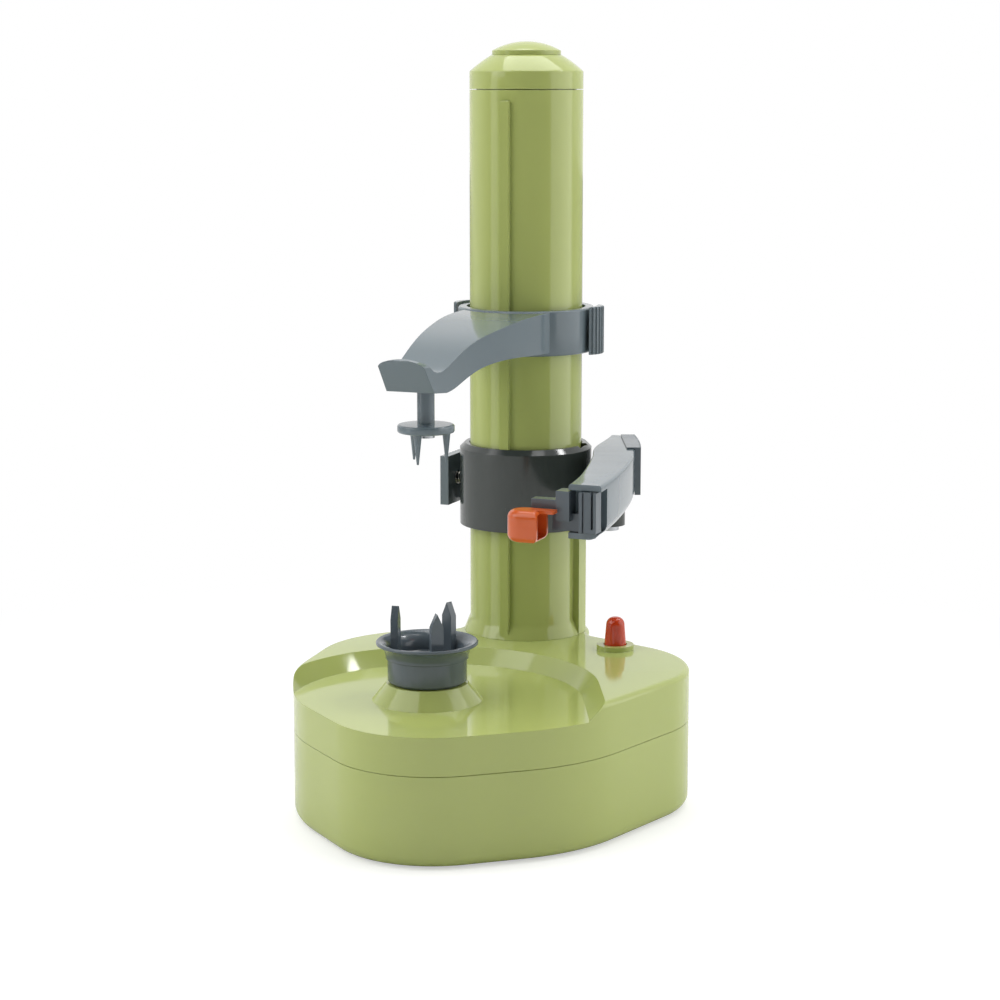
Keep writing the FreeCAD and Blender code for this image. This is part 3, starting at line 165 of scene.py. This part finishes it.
def skin(node, material):
    """The solid's own surface as one closed mesh: the loose triangles are joined where their corners meet,
    edges sharper than crease degrees stay crisp and the rest is shaded round."""
    join_m, crease = 2e-6, 32.0
    source = frame["nodes"][node]
    mesh = source.data.copy()
    shell = bmesh.new()
    shell.from_mesh(mesh)
    bmesh.ops.remove_doubles(shell, verts=shell.verts, dist=join_m)
    shell.to_mesh(mesh)
    shell.free()
    if "custom_normal" in mesh.attributes:
        mesh.attributes.remove(mesh.attributes["custom_normal"])
    mesh.shade_smooth()
    mesh.set_sharp_from_angle(angle=math.radians(crease))
    mesh.materials.clear()
    mesh.materials.append(material)
    piece = bpy.data.objects.new(node + "_skin", mesh)
    bpy.context.scene.collection.objects.link(piece)
    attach(piece, source["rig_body"])
    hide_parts(node)
    return piece


green_abs = moulded("polished_green_abs", "#b1bc6f", gloss=0.09)
skin("base_lower_shell", green_abs)


# Upper shell
# The same green ABS in the same polish. It carries the tray, the raised plateau and the button's collar,
# and meets the lower shell in a fine seam.
skin("base_upper_shell", green_abs)


# Feet, door and shell screws
# Four pads of black nitrile rubber keep the base from sliding. The battery door is green ABS, and the
# screws are zinc-plated steel with a cross recess.
rubber = moulded("nitrile_rubber", "#1b1b1b", gloss=0.55, grain_mm=0.8, grain=0.3, ripple=0.0)
skin("rubber_feet", rubber)
skin("battery_door", green_abs)


def metal(name, hex_colour, rough, brushed=(60.0, 60.0, 900.0)):
    """Bare or plated metal. Fine lines, stretched along the tool's way, roughen it and bend its gloss."""
    edge_mm, line_mm, depth = 0.1, 0.03, 0.15
    material, tree, place = finish(name)
    stretch = add(tree, "Mapping", {"Scale": brushed}, {"Vector": place})
    lines = add(tree, "TexNoise", {"Scale": 6.0, "Detail": 4.0}, {"Vector": stretch.outputs["Vector"]})
    gloss = add(tree, "MapRange",
                {"From Min": 0.3, "From Max": 0.7, "To Min": rough * 0.75, "To Max": rough * 1.3},
                {"Value": lines.outputs["Fac"]})
    soft = add(tree, "Bevel", {"Radius": edge_mm / 1000}, samples=4)
    normal = add(tree, "Bump", {"Strength": depth, "Distance": line_mm / 1000},
                 {"Height": lines.outputs["Fac"], "Normal": soft.outputs["Normal"]})
    shader = add(tree, "BsdfPrincipled", {"Base Color": linear(hex_colour), "Metallic": 1.0},
                 {"Roughness": gloss.outputs["Result"], "Normal": normal.outputs["Normal"]})
    add(tree, "OutputMaterial", links={"Surface": shader.outputs["BSDF"]})
    return material


zinc = metal("zinc_plated_steel", "#b9bcbf", 0.32)
skin("base_screws", zinc)


# Cells, contacts, inlet and switch
# Four cells in a dark, plain sleeve lie between nickel-plated spring contacts. The inlet at the back and
# the start switch are black nylon with a fine grain.
sleeve = moulded("cell_sleeve", "#3a4046", gloss=0.25)
skin("battery_cells", sleeve)
nickel = metal("nickel_spring_steel", "#c2c0b8", 0.22)
skin("battery_contacts", nickel)
nylon = moulded("black_nylon", "#17181a", gloss=0.38, grain_mm=0.6, grain=0.2)
skin("dc_inlet", nylon)
skin("start_switch", nylon)


# Gearbox
# Two plates of black nylon hold steel axles. The gears are acetal, white with a waxy gloss, and the motor
# can is plated steel with a brass pinion.
acetal = moulded("acetal", "#e4e2d8", gloss=0.35, ripple=0.02)
skin("gear_plate_upper", nylon)
skin("gear_plate_lower", nylon)
for piece in ("plate_screws", "gear_axles", "motor_bracket", "spindle_shaft", "column_screws"):
    skin(piece, zinc)
can = metal("nickel_plated_can", "#bdbbb5", 0.2)
skin("motor_body", can)
brass = metal("machined_brass", "#c9a35a", 0.25, (40.0, 40.0, 1200.0))
skin("motor_pinion", brass)
skin("spindle_bush", brass)
for piece in ("first_compound_gear", "second_compound_gear", "spindle_gear", "idler_gear_front",
              "idler_gear_rear", "screw_gear", "lead_screw", "screw_foot_bush", "screw_top_bush", "half_nut"):
    skin(piece, acetal)


# Start button
# A tapered peg of red ABS with a rounded tip, so glossy that it shows the lamp as a small bright line.
# Its spring stands on the switch and has a mesh of its own.
red_abs = moulded("polished_red_abs", "#c8401c", gloss=0.09)
skin("start_button", red_abs)
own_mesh(skin("button_spring", nickel))


# Food hub
# Charcoal ABS, turned in use by the motor: a drum with a flared rim, a dished top and three upright prongs.
# Its gloss is a little dulled by washing.
charcoal = moulded("charcoal_abs", "#59636a", gloss=0.16)
skin("food_hub", charcoal)


# Column, cap and plug
# A tube of green ABS with a rib down its front. The cap sits on it with a fine seam, and a low plug of the
# same green fills the cap's top.
skin("column_tube", green_abs)
skin("column_cap", green_abs)
skin("cap_plug", green_abs)


# Upper arm
# Slate-grey ABS, polished, with a curved beam whose end rises in an arched lip. The ribbed pads at its
# sides are pressed to free the ring, and each has a spring, with a mesh of its own, against the ring's wall.
slate = moulded("polished_slate_abs", "#69767c", gloss=0.1)
skin("upper_arm", slate)
skin("upper_pad_right", slate)
skin("upper_pad_left", slate)
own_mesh(skin("pad_spring_right", nickel))
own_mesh(skin("pad_spring_left", nickel))
skin("top_holder", slate)
skin("holder_screw", zinc)


# Carriage
# A charcoal ABS ring that slides on the column, with lugs for the peeling arm and for the nut's lever. The
# lever is the arm's slate ABS, and its spring pushes off the ring's side.
ring_abs = moulded("charcoal_ring_abs", "#3c413f", gloss=0.14)
skin("carriage_ring", ring_abs)
skin("nut_lever", slate)
skin("lever_pin", zinc)
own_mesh(skin("lever_spring", nickel))


# Peeling arm
# The same slate ABS, polished, curved round the column to the blade's hinge. The ribbed grip on its tail
# is moulded over it in a duller, darker grey.
skin("peeling_arm", slate)
tail_abs = moulded("tail_grip_abs", "#5d6870", gloss=0.2)
skin("tail_grip", tail_abs)
skin("arm_pivot_pin", zinc)
skin("arm_spring", nickel)
skin("head_pin", zinc)


# Blade head
# The bracket is charcoal ABS, and the guard over the blade is orange ABS with a rounded nose. The blade is
# a ground strip of stainless steel.
skin("blade_bracket", charcoal)
orange_abs = moulded("orange_abs", "#d2602b", gloss=0.14)
skin("blade_holder", orange_abs)
stainless = metal("ground_stainless_steel", "#c9ccd0", 0.2, (900.0, 60.0, 60.0))
skin("steel_blade", stainless)


# Floor, backdrop and lamps
# A white sweep, and soft boxes round it: a wide one high on the left with a tall narrow one under it, a wide
# one on the right, one overhead, and a small bright one behind on the right that gives the sharp glints.
def white_sweep():
    """Floor that keeps the object's soft shadow near it and fades to plain white further off."""
    fade_from, fade_to = 0.1, 0.42              # metres from the middle
    material, tree, place = finish("white_sweep")
    seen = add(tree, "LightPath")
    matt = add(tree, "BsdfDiffuse", {"Color": (0.62, 0.62, 0.62, 1)})
    plain = add(tree, "BsdfDiffuse", {"Color": (0.8, 0.8, 0.8, 1)})
    glow = add(tree, "Emission", {"Color": (1, 1, 1, 1), "Strength": 0.5})
    white = add(tree, "Emission", {"Color": (1, 1, 1, 1), "Strength": 1.0})
    both = add(tree, "AddShader", links={0: matt.outputs["BSDF"], 1: glow.outputs["Emission"]})
    far = add(tree, "VectorMath", links={0: place}, operation="LENGTH")
    fade = add(tree, "MapRange", {"From Min": fade_from, "From Max": fade_to},
               {"Value": far.outputs["Value"]}, interpolation_type="SMOOTHSTEP")
    sweep = add(tree, "MixShader", links={0: fade.outputs["Result"], 1: both.outputs["Shader"],
                                          2: white.outputs["Emission"]})
    mixed = add(tree, "MixShader", links={0: seen.outputs["Is Camera Ray"], 1: plain.outputs["BSDF"],
                                          2: sweep.outputs["Shader"]})
    add(tree, "OutputMaterial", links={"Surface": mixed.outputs["Shader"]})
    return material


half = 6.0
floor_mesh = bpy.data.meshes.new("floor")
corners = [(-half, -half, 0), (half, -half, 0), (half, half, 0), (-half, half, 0)]
floor_mesh.from_pydata(corners, [], [(0, 1, 2, 3)])
floor_mesh.materials.append(white_sweep())
floor = bpy.data.objects.new("floor", floor_mesh)
bpy.context.scene.collection.objects.link(floor)


def soft_lamp(name, place, aim, width, height, power):
    """Rectangular soft box of width by height metres at place, turned to face aim."""
    data = bpy.data.lights.new(name, "AREA")
    data.shape = "RECTANGLE"
    data.size, data.size_y, data.energy = width, height, power
    lamp = bpy.data.objects.new(name, data)
    lamp.location = place
    away = np.array(place) - np.array(aim)
    flat = math.hypot(away[0], away[1])
    lamp.rotation_euler = (math.atan2(flat, away[2]), 0, math.atan2(away[0], -away[1]))
    bpy.context.scene.collection.objects.link(lamp)


soft_lamp("left_key", (-0.66, -0.6, 0.85), (0, 0, 0.12), 1.1, 1.1, 7.0)
soft_lamp("left_strip", (-0.83, -0.72, 0.5), (0, 0, 0.5), 0.31, 1.0, 1.2)
soft_lamp("rear_spot", (0.54, 0.46, 1.1), (0, 0, 0.12), 0.17, 0.12, 1.3)
soft_lamp("right_bank", (1.05, 0.2, 0.55), (0, 0, 0.14), 1.2, 1.2, 6.0)
soft_lamp("overhead", (-0.05, 0.25, 1.2), (0, 0, 0.1), 0.8, 0.8, 5.2)

# The room is white behind the object and at its sides, and dark round the camera
dark_side = (0.27, -0.963, 0.0)
white_level, dark_level = 0.95, 0.02
world = bpy.data.worlds.new("studio")
world.use_nodes = True
bpy.context.scene.world = world
sky = world.node_tree
sky.nodes.clear()
way = add(sky, "TexCoord").outputs["Generated"]
front = add(sky, "VectorMath", {1: dark_side}, {0: way}, operation="DOT_PRODUCT")
wall = add(sky, "MapRange",
           {"From Min": -0.45, "From Max": 0.6, "To Min": white_level, "To Max": dark_level},
           {"Value": front.outputs["Value"]}, interpolation_type="SMOOTHSTEP")
seen = add(sky, "LightPath")
level = add(sky, "Mix", {3: 1.0}, {0: seen.outputs["Is Camera Ray"], 2: wall.outputs["Result"]})
paint = add(sky, "Background", {"Color": (1, 1, 1, 1)}, {"Strength": level.outputs[0]})
add(sky, "OutputWorld", links={"Surface": paint.outputs["Background"]})
